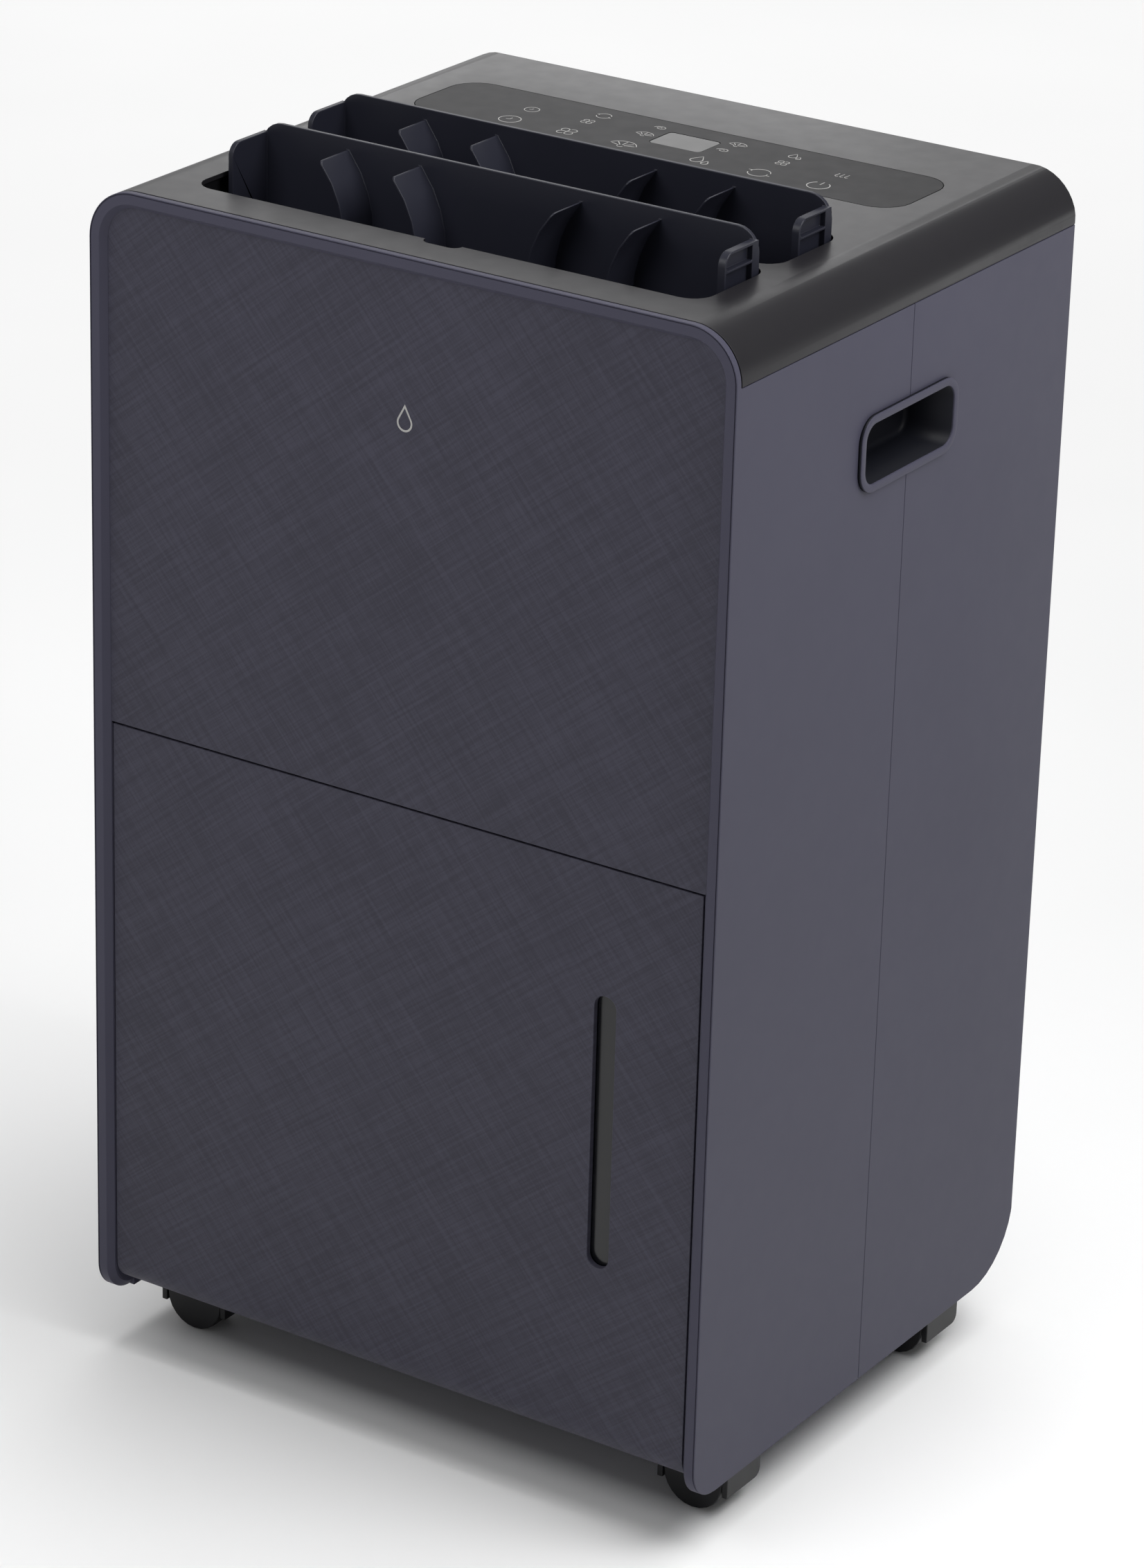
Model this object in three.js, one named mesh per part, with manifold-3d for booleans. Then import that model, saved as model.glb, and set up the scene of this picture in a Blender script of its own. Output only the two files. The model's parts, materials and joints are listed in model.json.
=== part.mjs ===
// A compressor dehumidifier on castors: casing, bucket, touch controls, air louvres and the works inside.
// Millimetres. X to the right, Y to the back, Z up.
// The origin is on the floor under the middle of the body.
// Depths below are given from the louvre datum, and the root group slides the whole to that origin.
import * as THREE from 'three';
import { mergeVertices } from 'three/addons/utils/BufferGeometryUtils.js';
import Module from 'manifold-3d';

const wasm = await Module();
wasm.setup();

// ---- driving dimensions ----
const BODY = { width: 385.8, front: -162.5, back: 167.4, top: 665.4, bottom: 32.8 };
const X = BODY.width / 2;
const FRONT = BODY.front;
const BACK = BODY.back;
const WALL = 2.5;
const GAP = 0.3;
const TOP_EDGE_R = 27.2;
const FRONT_FOOT_R = 20;
const REAR_FOOT_R = 42;
const FRONT_EDGE_R = 0.8;
const REAR_EDGE_R = 1.5;

const BEZEL = { depth: 4.3, width: 8, legWidth: 9.3 };
const FACE_Y = FRONT + 4;
const SEAM = { cover: BODY.top - TOP_EDGE_R, side: 2.9, bucket: 373.5 };
const LEG_DEPTH = 26;

const BUCKET_FACE = { half: X - BEZEL.legWidth - GAP, rollR: 14, bottom: 41.6, thickness: 3.5 };
const SLOT = { x: 127.6, width: 13, low: 149.3, high: 302.6 };
const BUCKET = { half: 172, front: -151, back: -40, bottom: 49, top: 340, wall: 2.5 };

const POCKET = { y: 1.8, z: 570, width: 95, height: 40.4, rim: 4.3, proud: 2.2, depth: 29, cornerR: 12 };

const FILM = { left: -150, right: 151, front: 50, back: 113, cornerR: 17, thickness: 1 };
const DISPLAY = { left: -12, right: 20, front: 75, back: 98 };

const OPENING = { half: 151.4, front: -131.5, back: -68, cornerR: 12 };
const LOUVRE_PITCH = 68;
const LOUVRE = {
  half: 148.5, pivotY: -89.5, pivotZ: 646.5,
  reach: 16, top: 40.3, bottom: -18.5, blade: 2.5,
};
const CHEEK = { front: -15.5, top: 34.8, thickness: 3, boxed: 4.5, cornerR: 7 };
const WINDOW = { front: -14, back: 9.3, low: -16, high: 33.6, rib: 25.2, ribHalf: 0.7, depth: 3.3 };
const VANE = {
  at: [-80, -35.5, 30, 76.3], bendR: 62, thickness: 1.4,
  front: -11.5, bottom: -6.5, top: 34.5,
};
const PIVOT_R = 3;
const CRANK = { y: -9.9, z: -9.9, pinR: 1.6 };
const DUCT = { half: 154, front: -132, back: 6, floor: 610.5 };

const DECK_Z = 378;
const WHEEL = { r: 18, width: 23, bore: 3.4 };
const AXLE_R = 3;
const HOOD = { half: 21.7, depth: 33, wall: 3.4, clearance: 12, top: 43.5 };
const CASTOR_X = 163.3;
const CASTOR_Y = { front: -99, rear: 108 };

const SCROLL = { left: -110, right: 118, z: 500, front: -131, back: -20 };
const BLOWER = { r: 84, hubR: 26, blades: 18, front: -110, back: -34 };
const COMPRESSOR = { x: -45, y: 62, r: 57, bottom: 62, top: 262 };
const ACCUMULATOR = { x: 42, y: 62, r: 22, bottom: 120, top: 240 };
const INTAKE = { half: 150, low: 396, high: 626 };
const SPOUT = { x: 70, z: 352 };
const INLET = { x: 150, z: 92 };

// ---- looks ----
const look = (color, roughness, metalness = 0) => ({ color, roughness, metalness });
const LOOKS = {
  casing: look(0x4c4b57, 0.5),
  cover: look(0x3b3b40, 0.42),
  textured: look(0x454450, 0.55),
  louvre: look(0x1b1c2a, 0.45),
  black: look(0x1e1e22, 0.6),
  film: look(0x3e3d40, 0.25),
  display: look(0x7d7d7d, 0.2),
  bucket: look(0x6c7078, 0.35),
  clear: look(0x23252c, 0.1),
  moulding: look(0x8a8c90, 0.6),
  board: look(0x1f5a3a, 0.6),
  steel: look(0x2a2b2e, 0.35, 0.4),
  zinc: look(0xb4b6b8, 0.35, 0.9),
  aluminium: look(0xb9bcc0, 0.35, 0.9),
  copper: look(0xb06a43, 0.3, 0.9),
  rubber: look(0x26262a, 0.85),
  mesh: look(0x2f3034, 0.8),
};

// ---- solids ----
function solid(geometry) {
  geometry.deleteAttribute('normal');
  geometry.deleteAttribute('uv');
  const merged = mergeVertices(geometry, 1e-4);
  const corners = merged.index.array;
  const faces = [];
  for (let i = 0; i < corners.length; i += 3) {
    const [a, b, c] = [corners[i], corners[i + 1], corners[i + 2]];
    if (a !== b && b !== c && c !== a) faces.push(a, b, c);
  }
  const mesh = new wasm.Mesh({
    numProp: 3,
    vertProperties: new Float32Array(merged.attributes.position.array),
    triVerts: new Uint32Array(faces),
  });
  return new wasm.Manifold(mesh);
}

const joined = (...pieces) => pieces.reduce((whole, piece) => whole.add(piece));
const without = (whole, ...cuts) => cuts.reduce((rest, cut) => rest.subtract(cut), whole);
const repeated = (count, make) => joined(...Array.from({ length: count }, (_, i) => make(i)));

// A closed outline through corners [u, v] or [u, v, radius]; a radius rounds that corner with an arc.
function outline(corners) {
  const shape = new THREE.Shape();
  const count = corners.length;
  corners.forEach(([u, v, r = 0], i) => {
    const here = new THREE.Vector2(u, v);
    const before = new THREE.Vector2(...corners[(i + count - 1) % count].slice(0, 2)).sub(here).normalize();
    const after = new THREE.Vector2(...corners[(i + 1) % count].slice(0, 2)).sub(here).normalize();
    const half = Math.acos(THREE.MathUtils.clamp(before.dot(after), -1, 1)) / 2;
    const start = here.clone().addScaledVector(before, r ? r / Math.tan(half) : 0);
    if (i === 0) shape.moveTo(start.x, start.y);
    else shape.lineTo(start.x, start.y);
    if (!r) return;
    const centre = before.clone().add(after).normalize().multiplyScalar(r / Math.sin(half)).add(here);
    const end = here.clone().addScaledVector(after, r / Math.tan(half));
    const from = start.clone().sub(centre).angle();
    const to = end.clone().sub(centre).angle();
    shape.absarc(centre.x, centre.y, r, from, to, before.cross(after) > 0);
  });
  return shape;
}

const rectangle = (u0, u1, v0, v1, r = 0) => outline([[u0, v0, r], [u1, v0, r], [u1, v1, r], [u0, v1, r]]);

function disc(u, v, r) {
  const shape = new THREE.Shape();
  shape.absarc(u, v, r, 0, 2 * Math.PI);
  return shape;
}

// Extrudes an outline along an axis: 'x' takes (y, z) outlines, 'y' takes (x, z) and 'z' takes (x, y).
function prism(axis, shape, low, high, curveSegments = 3) {
  const options = { depth: high - low, bevelEnabled: false, curveSegments };
  const geometry = new THREE.ExtrudeGeometry(shape, options);
  if (axis === 'z') geometry.translate(0, 0, low);
  if (axis === 'y') geometry.rotateX(Math.PI / 2).translate(0, high, 0);
  if (axis === 'x') geometry.rotateX(Math.PI / 2).rotateZ(Math.PI / 2).translate(low, 0, 0);
  return solid(geometry);
}

function box(x0, x1, y0, y1, z0, z1) {
  const geometry = new THREE.BoxGeometry(x1 - x0, y1 - y0, z1 - z0);
  geometry.translate((x0 + x1) / 2, (y0 + y1) / 2, (z0 + z1) / 2);
  return solid(geometry);
}

const rod = (axis, u, v, r, low, high, sides = 16) => prism(axis, disc(u, v, r), low, high, sides / 2);

// A turned piece about the vertical axis, from [radius, z] points that start and end on the axis.
function turned(profile, segments) {
  const points = profile.map(([r, z]) => new THREE.Vector2(r, z));
  return solid(new THREE.LatheGeometry(points, segments).rotateX(Math.PI / 2));
}

// A round tube along a smooth path through the points.
function tube(points, radius, steps, sides = 8) {
  const route = points.map((point) => new THREE.Vector3(...point));
  const path = new THREE.CatmullRomCurve3(route, false, 'centripetal');
  const section = new THREE.Shape();
  for (let i = 0; i < sides; i += 1) {
    const angle = (2 * Math.PI * i) / sides;
    const corner = [radius * Math.cos(angle), radius * Math.sin(angle)];
    if (i === 0) section.moveTo(...corner);
    else section.lineTo(...corner);
  }
  return solid(new THREE.ExtrudeGeometry(section, { steps, extrudePath: path }));
}

const root = new THREE.Group();
root.position.y = -(BODY.front + BODY.back) / 2;

function place(name, shape, { color, roughness, metalness }, parent = root) {
  const { vertProperties, triVerts } = shape.getMesh();
  const geometry = new THREE.BufferGeometry();
  geometry.setAttribute('position', new THREE.BufferAttribute(new Float32Array(vertProperties), 3));
  geometry.setIndex(new THREE.BufferAttribute(new Uint32Array(triVerts), 1));
  geometry.computeVertexNormals();
  const mesh = new THREE.Mesh(geometry, new THREE.MeshStandardMaterial({ color, roughness, metalness }));
  mesh.name = name;
  parent.add(mesh);
  return mesh;
}

function groupAt(x, y, z) {
  const group = new THREE.Group();
  group.position.set(x, y, z);
  root.add(group);
  return group;
}

// ---- outer form: three extrusions that cross, each inset by the same amount ----
function bodyForm(inset) {
  const x = X - inset;
  const fore = FRONT + inset;
  const aft = BACK - inset;
  const low = BODY.bottom + inset;
  const high = BODY.top - inset;
  const topR = TOP_EDGE_R - inset;
  const front = outline([[-x, low], [x, low], [x, high, topR], [-x, high, topR]]);
  const rearR = Math.max(REAR_EDGE_R - inset, 0.5);
  const side = outline([
    [fore, low, FRONT_FOOT_R - inset], [aft, low, REAR_FOOT_R - inset], [aft, high, rearR], [fore, high],
  ]);
  const foreR = Math.max(FRONT_EDGE_R - inset, 0.5);
  const plan = outline([[-x, fore, foreR], [x, fore, foreR], [x, aft, rearR], [-x, aft, rearR]]);
  return prism('y', front, fore, aft, 5)
    .intersect(prism('x', side, -x, x, 4))
    .intersect(prism('z', plan, low, high, 2));
}

const outer = bodyForm(0);
const inner = bodyForm(WALL);
const shell = outer.subtract(inner);

const pocketHole = rectangle(
  POCKET.y - POCKET.width / 2 + 2.5, POCKET.y + POCKET.width / 2 - 2.5,
  POCKET.z - POCKET.height / 2 + 2.5, POCKET.z + POCKET.height / 2 - 2.5, POCKET.cornerR - 2.5,
);
const pocketHoles = prism('x', pocketHole, -X - 1, X + 1);

// ---- wells that the castor hoods sit in ----
const CASTORS = [
  ['front_left', -CASTOR_X, CASTOR_Y.front], ['front_right', CASTOR_X, CASTOR_Y.front],
  ['rear_left', -CASTOR_X, CASTOR_Y.rear], ['rear_right', CASTOR_X, CASTOR_Y.rear],
];

function castorWells(grow) {
  const wells = CASTORS.map(([, x, y]) => box(x - HOOD.half - grow, x + HOOD.half + grow,
    y - HOOD.depth / 2 - grow, y + HOOD.depth / 2 + grow, 0, HOOD.top + grow));
  return joined(...wells);
}

// ---- front ----
function addFront() {
  const rimTop = BODY.top - BEZEL.width;
  const rimInner = outline([
    [-X + BEZEL.width, SEAM.bucket], [X - BEZEL.width, SEAM.bucket],
    [X - BEZEL.width, rimTop, TOP_EDGE_R - BEZEL.width],
    [-X + BEZEL.width, rimTop, TOP_EDGE_R - BEZEL.width],
  ]);
  const backOfRim = FRONT + BEZEL.depth;
  const bezel = without(
    outer.intersect(box(-X, X, FRONT, backOfRim, 0, BODY.top)),
    prism('y', rimInner, FRONT - 1, BACK),
    box(-X + BEZEL.legWidth, X - BEZEL.legWidth, FRONT - 1, BACK, 0, SEAM.bucket + 1),
  );
  place('front_bezel', bezel, LOOKS.casing);

  const panelR = TOP_EDGE_R - BEZEL.width - GAP;
  const panelHalf = X - BEZEL.width - GAP;
  const panel = outline([
    [-panelHalf, SEAM.bucket + GAP], [panelHalf, SEAM.bucket + GAP],
    [panelHalf, rimTop - GAP, panelR], [-panelHalf, rimTop - GAP, panelR],
  ]);
  place('front_panel', prism('y', panel, FACE_Y, FACE_Y + 3), LOOKS.textured);
}

// ---- casings ----
function addCasings() {
  const front = FRONT + BEZEL.depth + GAP;
  const sideTop = SEAM.cover - GAP;
  const wallY = FACE_Y + 3 + GAP;
  const frontRegion = box(-X, X, front, SEAM.side - GAP / 2, 0, sideTop);
  const floorStart = front + 28;
  const sides = without(
    shell.intersect(frontRegion),
    box(-X + WALL, X - WALL, FRONT, floorStart, 0, BODY.bottom + 20),
    castorWells(GAP),
  );
  const leg = (side) => {
    const x0 = side > 0 ? X - BEZEL.legWidth : -X + 1;
    const column = box(x0, x0 + BEZEL.legWidth - 1, front, front + LEG_DEPTH, BODY.bottom, SEAM.bucket - 1);
    const hollow = box(x0 + (side > 0 ? 2 : 0), x0 + BEZEL.legWidth - (side > 0 ? 1 : 3),
      front + 2.5, front + LEG_DEPTH + 1, BODY.bottom + 22, SEAM.bucket);
    return outer.intersect(column).subtract(hollow);
  };
  const bulkhead = box(-X + 1, X - 1, wallY, wallY + 2.5, DECK_Z + 4, sideTop);
  const frontCasing = without(
    joined(sides, leg(1), leg(-1), outer.intersect(bulkhead)),
    pocketHoles,
  );
  place('front_casing', frontCasing, LOOKS.casing);

  const rearRegion = box(-X, X, SEAM.side + GAP / 2, BACK, 0, sideTop);
  const mouth = rectangle(-INTAKE.half, INTAKE.half, INTAKE.low, INTAKE.high, 8);
  const intake = prism('y', mouth, 100, BACK + 1);
  const rearCasing = without(
    shell.intersect(rearRegion),
    pocketHoles,
    castorWells(GAP),
    intake,
    rod('y', SPOUT.x, SPOUT.z, 14, 100, BACK + 1),
    rod('y', INLET.x, INLET.z, 9.3, 100, BACK + 1),
  );
  place('rear_casing', rearCasing, LOOKS.casing);

  const opening = (shift) => prism('z', rectangle(
    -OPENING.half, OPENING.half, OPENING.front + shift, OPENING.back + shift, OPENING.cornerR,
  ), BODY.top - 20, BODY.top + 1);
  const notch = (shift) => prism('z', rectangle(
    -8, 14, OPENING.front + shift - 5, OPENING.front + shift + 6, 5,
  ), BODY.top - 20, BODY.top + 1);
  const filmSeat = prism('z', rectangle(
    FILM.left - GAP, FILM.right + GAP, FILM.front - GAP, FILM.back + GAP, FILM.cornerR + GAP,
  ), BODY.top - FILM.thickness - GAP, BODY.top + 1);
  const cover = without(
    shell.intersect(box(-X, X, front, BACK, SEAM.cover, BODY.top)),
    opening(0),
    opening(LOUVRE_PITCH),
    notch(0),
    filmSeat,
  );
  place('top_cover', cover, LOOKS.cover);
}

// ---- hand pockets ----
function addPockets() {
  const ring = (grow, r) => rectangle(
    POCKET.y - POCKET.width / 2 - grow, POCKET.y + POCKET.width / 2 + grow,
    POCKET.z - POCKET.height / 2 - grow, POCKET.z + POCKET.height / 2 + grow, r,
  );
  for (const [name, side] of [['hand_pocket_left', -1], ['hand_pocket_right', 1]]) {
    const along = (shape, from, to) => prism('x', shape, Math.min(side * from, side * to),
      Math.max(side * from, side * to));
    const rim = along(ring(0, POCKET.cornerR), X + GAP, X + POCKET.proud);
    const cup = along(ring(-3, POCKET.cornerR - 3), X - POCKET.depth, X + POCKET.proud);
    const hollow = along(ring(-POCKET.rim, POCKET.cornerR - POCKET.rim), X - POCKET.depth + 2, X + 5);
    place(name, joined(rim, cup).subtract(hollow), LOOKS.black);
  }
}

// ---- controls ----
function addControls() {
  const film = rectangle(FILM.left, FILM.right, FILM.front, FILM.back, FILM.cornerR);
  const window = rectangle(DISPLAY.left, DISPLAY.right, DISPLAY.front, DISPLAY.back, 3);
  const under = BODY.top - FILM.thickness;
  place('control_film', prism('z', film, under, BODY.top).subtract(
    prism('z', window, under - 1, BODY.top + 1)), LOOKS.film);
  const lens = rectangle(
    DISPLAY.left + GAP, DISPLAY.right - GAP, DISPLAY.front + GAP, DISPLAY.back - GAP, 3 - GAP,
  );
  place('display_window', prism('z', lens, under, BODY.top - 0.1), LOOKS.display);
  const boardTop = BODY.top - WALL - GAP;
  place('control_board', box(-140, 140, 54, 109, boardTop - 2, boardTop), LOOKS.board);
}

// ---- louvres ----
function louvreShape() {
  const { half, reach, top, bottom, blade } = LOUVRE;
  const face = outline([[-half, bottom, 4], [half, bottom, 4], [half, top, 12], [-half, top, 12]]);
  const cheek = outline([
    [CHEEK.front, bottom, 5], [reach - 1, bottom],
    [reach - 1, CHEEK.top], [CHEEK.front, CHEEK.top, CHEEK.cornerR],
  ]);
  const window = (low, high, r) => prism('x', outline([
    [WINDOW.front, low, 2], [WINDOW.back, low], [WINDOW.back, high], [WINDOW.front, high, r],
  ]), half - WINDOW.depth, half + 1, 2);
  const boxedCheek = without(
    prism('x', cheek, half - CHEEK.boxed, half, 3),
    window(WINDOW.low, WINDOW.rib - WINDOW.ribHalf, 0),
    window(WINDOW.rib + WINDOW.ribHalf, WINDOW.high, CHEEK.cornerR - 1.5),
  );
  const cheeks = [prism('x', cheek, -half, -half + CHEEK.thickness, 3), boxedCheek];
  const vanes = VANE.at.map((x) => {
    const lean = Math.sign(x);
    const bend = (radius, z) => lean * (radius - Math.sqrt(radius ** 2 - z ** 2));
    const heights = Array.from({ length: 5 }, (_, i) => ((VANE.top - VANE.bottom) * i) / 4);
    const near = heights.map((z) => [x + bend(VANE.bendR, z), VANE.bottom + z]);
    const far = near.map(([u, v]) => [u + VANE.thickness, v]).reverse();
    const sheet = prism('y', outline([...near, ...far]), VANE.front, reach - 1);
    const trim = outline([
      [VANE.front, VANE.bottom], [reach, VANE.bottom], [reach, VANE.top], [VANE.front, VANE.top, 2.5],
    ]);
    return sheet.intersect(prism('x', trim, -half, half, 2));
  });
  const pivots = rod('x', 0, 0, PIVOT_R, -half - 8, -half + 1, 12).add(
    rod('x', 0, 0, PIVOT_R, half - CHEEK.boxed + 0.5, half + 8, 12));
  const crankPin = rod('x', CRANK.y, CRANK.z, CRANK.pinR, -half - 3.4, -half + 1, 8);
  return joined(prism('y', face, reach - blade, reach), ...cheeks, ...vanes, pivots, crankPin);
}

function addLouvres() {
  for (const [name, shift] of [['front_louvre', 0], ['rear_louvre', LOUVRE_PITCH]]) {
    const pivot = groupAt(0, LOUVRE.pivotY + shift, LOUVRE.pivotZ);
    place(name, louvreShape(), LOOKS.louvre, pivot);
  }
  const pin = groupAt(0, LOUVRE.pivotY + CRANK.y, LOUVRE.pivotZ + CRANK.z);
  const bar = rectangle(-4, LOUVRE_PITCH + 4, -4, 4, 3.9);
  const holes = [0, LOUVRE_PITCH].map((y) => rod('x', y, 0, CRANK.pinR + 0.4, -160, -140, 12));
  const left = -LOUVRE.half - 3;
  place('louvre_link', without(prism('x', bar, left, left + 2, 2), ...holes), LOOKS.black, pin);
}

function addOutletDuct() {
  const { half, front, back, floor } = DUCT;
  const top = BODY.top - WALL - GAP;
  const hull = box(-half - WALL, half + WALL, front - WALL, back + WALL, floor - WALL, top);
  const pivotHole = (shift) => rod('x', LOUVRE.pivotY + shift, LOUVRE.pivotZ, PIVOT_R + 0.4, -170, 170, 12);
  const duct = without(
    hull,
    box(-half, half, front, back, floor, top + 1),
    box(-112, 112, front + 6, -24, floor - 5, floor + 1),
    pivotHole(0),
    pivotHole(LOUVRE_PITCH),
  );
  place('outlet_duct', duct, LOOKS.black);

  const motorX = half + WALL + GAP;
  const can = rod('x', LOUVRE.pivotY, LOUVRE.pivotZ, 14, motorX, motorX + 18, 16);
  const ears = box(motorX, motorX + 1.5, LOUVRE.pivotY - 21, LOUVRE.pivotY + 21, LOUVRE.pivotZ - 4,
    LOUVRE.pivotZ + 4);
  const drive = rod('x', LOUVRE.pivotY, LOUVRE.pivotZ, PIVOT_R + 0.4, motorX - 1, motorX + 3, 12);
  place('swing_motor', joined(can, ears).subtract(drive), LOOKS.zinc);
}

// ---- base, bay and deck ----
function addBase() {
  const trayTop = BODY.bottom + WALL + 4;
  const plate = box(-X + 4, X - 4, FRONT + 34, 126, BODY.bottom + WALL + GAP, trayTop);
  const tray = joined(
    plate,
    castorWells(3).subtract(box(-X, X, FRONT, BACK, 0, trayTop - 1)),
    box(-X + 5, X - 5, -28, -25, trayTop - 1, trayTop + 14),
    rod('z', COMPRESSOR.x, COMPRESSOR.y, 66, trayTop - 1, trayTop + 5),
  );
  place('base_tray', tray.subtract(castorWells(GAP)).intersect(bodyForm(WALL + GAP)), LOOKS.moulding);

  const wall = box(-X + 3, X - 3, -32, -29, trayTop + GAP, DECK_Z + 1);
  const deck = box(-X + 3, X - 3, -148, 136, DECK_Z, DECK_Z + 3);
  const lips = box(-BUCKET_FACE.half, BUCKET_FACE.half, -148, -145, DECK_Z - 8, DECK_Z + 1);
  const pipeNotch = box(146, 175, 40, 120, DECK_Z - 1, DECK_Z + 4);
  const drainNotch = box(-18, 18, -40, -20, 352, 376);
  const funnel = box(-8, 8, 52, 68, DECK_Z - 1, DECK_Z + 4);
  place('bay_divider', without(joined(wall, deck, lips), pipeNotch, drainNotch, funnel), LOOKS.moulding);

  const chute = outline([[-56, 354], [70, 362], [70, 374], [-56, 372]]);
  const trough = outline([[-54, 356], [68, 364], [68, 380], [-54, 380]]);
  const spill = box(-8, 8, -54, -47, 350, 360);
  const channel = without(prism('x', chute, -12, 12), prism('x', trough, -10, 10), spill);
  place('drain_channel', channel, LOOKS.moulding);
}

// ---- castors ----
function addCastors() {
  for (const [corner, x, y] of CASTORS) {
    const castor = groupAt(x, y, 0);
    const { half, depth, wall, clearance, top } = HOOD;
    const side = outline([
      [-depth / 2, clearance], [depth / 2, clearance, 5], [depth / 2, top], [-depth / 2, top],
    ]);
    const walls = [-half, half - wall].map((left) => prism('x', side, left, left + wall, 2));
    const roof = box(-half, half, -depth / 2, depth / 2, top - 3, top);
    const web = box(-half, half, depth / 2 - 3, depth / 2, clearance + 8, top);
    const bearing = rod('y', 0, WHEEL.r, AXLE_R + 2, depth / 2 - 4, depth / 2, 12);
    const axleHole = rod('y', 0, WHEEL.r, AXLE_R + GAP, -depth, depth, 12);
    const hood = joined(...walls, roof, web, bearing).subtract(axleHole);
    place(`castor_hood_${corner}`, hood, LOOKS.black, castor);

    const wheelFront = -depth / 2 + 0.5;
    const tread = rod('y', 0, WHEEL.r, WHEEL.r, wheelFront, wheelFront + WHEEL.width, 24);
    const bore = rod('y', 0, WHEEL.r, WHEEL.bore, wheelFront + 2.5, wheelFront + WHEEL.width + 1, 12);
    const groove = rod('y', 0, WHEEL.r, WHEEL.r - 4, wheelFront + 14, wheelFront + WHEEL.width + 1, 12);
    const boss = rod('y', 0, WHEEL.r, WHEEL.bore + 3, wheelFront + 12, wheelFront + WHEEL.width, 8);
    const rim = without(joined(tread.subtract(groove), boss), bore);
    place(`castor_wheel_${corner}`, rim, LOOKS.black, castor);

    const axle = rod('y', 0, WHEEL.r, AXLE_R, wheelFront + 3, depth / 2 + 1.5, 10);
    place(`castor_axle_${corner}`, axle, LOOKS.zinc, castor);
  }
}

// ---- bucket ----
function addBucket() {
  const { half, front, back, bottom, top, wall } = BUCKET;
  const plan = (inset) => rectangle(-half + inset, half - inset, front + inset, back - inset, 14 - inset);
  const lip = prism('z', plan(-3), top - 3, top).subtract(prism('z', plan(wall), top - 4, top + 1));
  const cup = prism('z', plan(0), bottom, top).subtract(prism('z', plan(wall), bottom + wall, top + 1));
  const bailBoss = (side) => rod('x', -96, 322, 4, side * (half + 3) - 3, side * (half + 3) + 3, 10);
  const bucket = joined(cup, lip, bailBoss(1), bailBoss(-1));
  place('bucket', bucket, LOOKS.bucket);

  const { half: faceHalf, rollR, thickness } = BUCKET_FACE;
  const low = BUCKET_FACE.bottom;
  const faceTop = SEAM.bucket - GAP;
  const section = outline([
    [FACE_Y, faceTop], [FACE_Y, low, rollR], [FACE_Y + 22, low], [FACE_Y + 22, low + thickness],
    [FACE_Y + thickness, low + thickness, rollR - thickness], [FACE_Y + thickness, faceTop],
  ]);
  const slot = (grow) => rectangle(
    SLOT.x - SLOT.width / 2 - grow, SLOT.x + SLOT.width / 2 + grow, SLOT.low - grow, SLOT.high + grow,
    SLOT.width / 2 + grow - 0.05,
  );
  const lid = box(-faceHalf, faceHalf, FACE_Y + 1, FACE_Y + 10, faceTop - 3, faceTop);
  const face = joined(prism('x', section, -faceHalf, faceHalf, 3), lid);
  place('bucket_front', face.subtract(prism('y', slot(0), FRONT - 1, FRONT + 20)), LOOKS.textured);
  const strip = prism('y', slot(1.5), FACE_Y + thickness + GAP, front - GAP);
  place('level_window', strip, LOOKS.clear);

  const lidTop = top + 3;
  const plate = prism('z', plan(-2), top + GAP, lidTop);
  const rabbet = prism('z', plan(wall + 1), top - 4, top + 1);
  const cover = joined(plate, rabbet);
  const inletHole = box(-30, 30, -62, -46, top - 6, lidTop + 1);
  const fingerHole = box(-60, 60, -135, -112, top - 6, lidTop + 1);
  place('bucket_lid', without(cover, inletHole, fingerHole), LOOKS.moulding);

  const bail = groupAt(0, -96, 322);
  const rest = 24;
  const reachX = half + 6.6;
  const raise = outline([
    [-5, -5, 4], [5, -5, 4], [5, rest], [36, rest], [36, rest + 4], [1, rest + 4], [-5, rest - 2],
  ]);
  const armIn = half + 3.6;
  const side = [[-reachX, -armIn], [armIn, reachX]].map(([low, high]) => prism('x', raise, low, high));
  const bar = box(-reachX, reachX, 28, 36, rest, rest + 4);
  const bossHole = [-1, 1].map((s) => rod('x', 0, 0, 4.4, Math.min(s * half, s * (half + 6.2)),
    Math.max(s * half, s * (half + 6.2)), 12));
  place('bucket_handle', without(joined(...side, bar), ...bossHole), LOOKS.black, bail);

  const float = groupAt(-150, -54, 300);
  const arms = box(-4, 4, -64, 2, -2, 2);
  const axleRod = rod('x', 0, 0, 2.5, -12, 12, 8);
  const buoy = box(-14, 14, -66, -34, -14, 8);
  place('float', joined(arms, axleRod, buoy), LOOKS.moulding, float);
}

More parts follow.
